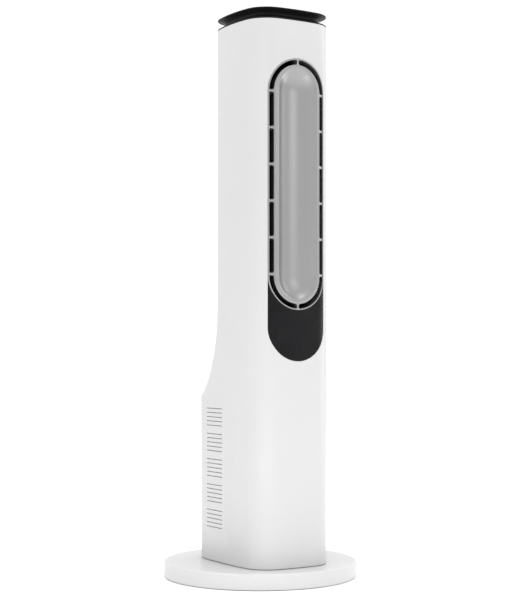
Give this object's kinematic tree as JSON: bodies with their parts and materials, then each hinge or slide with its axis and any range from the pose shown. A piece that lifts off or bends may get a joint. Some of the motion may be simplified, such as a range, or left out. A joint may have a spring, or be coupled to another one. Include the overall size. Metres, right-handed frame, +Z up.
{
  "type": "tower fan",
  "caption": "Slot-outlet tower fan: rounded white column with a concave silver outlet, touch panel and flared foot, swinging on a flat disc base.",
  "frame": {"origin": "on the floor, under the middle of the base disc, which is also the axis the column swings on", "axes": "+Z up; the air outlet faces -Y, the power inlet faces +Y, +X is to the right seen from the front"},
  "size_m": [0.28, 0.28, 0.807],
  "materials": {
    "gloss_white": "gloss moulded ABS",
    "black_satin": "fine satin moulding",
    "black_gloss": "high gloss, smoked",
    "satin_silver": "satin silver paint on moulded plastic",
    "black_plastic": "plain moulded",
    "grey_plastic": "plain moulded",
    "white_plastic": "plain moulded",
    "nylon": "natural acetal",
    "rubber": "matt",
    "steel": "zinc plated",
    "circuit_board": "solder mask",
    "cable_grey": "flat ribbon",
    "brass": "turned",
    "copper": "enamelled wire",
    "magnet": "sintered",
    "filter_mesh": "fine woven mesh"
  },
  "bodies": {
    "base": {"base_cover": "gloss_white", "base_plate": "grey_plastic", "ballast_weight": "steel", "rubber_feet": "rubber", "base_screws": "steel", "power_inlet": "black_plastic", "inlet_pins": "steel", "power_board": "circuit_board", "power_board_parts": "grey_plastic", "pivot_post": "steel", "pivot_screws": "steel", "sector_gear": "nylon", "glide_ring": "nylon", "retaining_plate": "steel", "retainer_screws": "steel"},
    "column": {"column_floor": "white_plastic", "front_casing": "gloss_white", "rear_casing": "gloss_white", "top_cap": "black_satin", "top_plate": "grey_plastic", "cap_screws": "steel", "outlet_frame": "satin_silver", "outlet_insert": "satin_silver", "insert_carrier": "black_plastic", "slot_lining": "black_plastic", "control_panel": "black_gloss", "display_board": "circuit_board", "display_lamps": "white_plastic", "display_screws": "steel", "display_cable": "cable_grey", "air_duct": "black_plastic", "blower_deck": "black_plastic", "isolators": "rubber", "inlet_bell": "grey_plastic", "impeller_housing": "grey_plastic", "diffuser": "white_plastic", "motor_mount": "brass", "mount_screws": "steel", "motor_cover": "white_plastic", "stator_core": "steel", "stator_windings": "copper", "motor_bearings": "steel", "main_board": "circuit_board", "main_board_parts": "black_plastic", "oscillation_motor": "steel", "motor_screws": "steel", "side_filters": "filter_mesh", "rear_filter": "filter_mesh", "casing_screws": "steel"},
    "impeller": {"impeller": "white_plastic", "impeller_nut": "steel", "rotor_bell": "steel", "magnet_ring": "magnet", "motor_shaft": "steel"},
    "pinion": {"drive_pinion": "nylon", "pinion_shaft": "steel"}
  },
  "joints": [
    {"name": "oscillation", "type": "hinge", "parent": "base", "child": "column", "pos_m": [0, 0, 0.025], "axis": [0, 0, 1], "range_deg": [-40, 40]},
    {"name": "impeller_spin", "type": "hinge", "parent": "column", "child": "impeller", "pos_m": [0, -0.006, 0.15], "axis": [0, 0, 1], "continuous": true},
    {"name": "pinion_spin", "type": "hinge", "parent": "column", "child": "pinion", "pos_m": [0, 0.039, 0.011], "axis": [0, 0, 1], "range_deg": [-134, 134]}
  ],
  "couplings": [
    {"joint": "pinion_spin", "follows": "oscillation", "ratio": 3.3333}
  ]
}
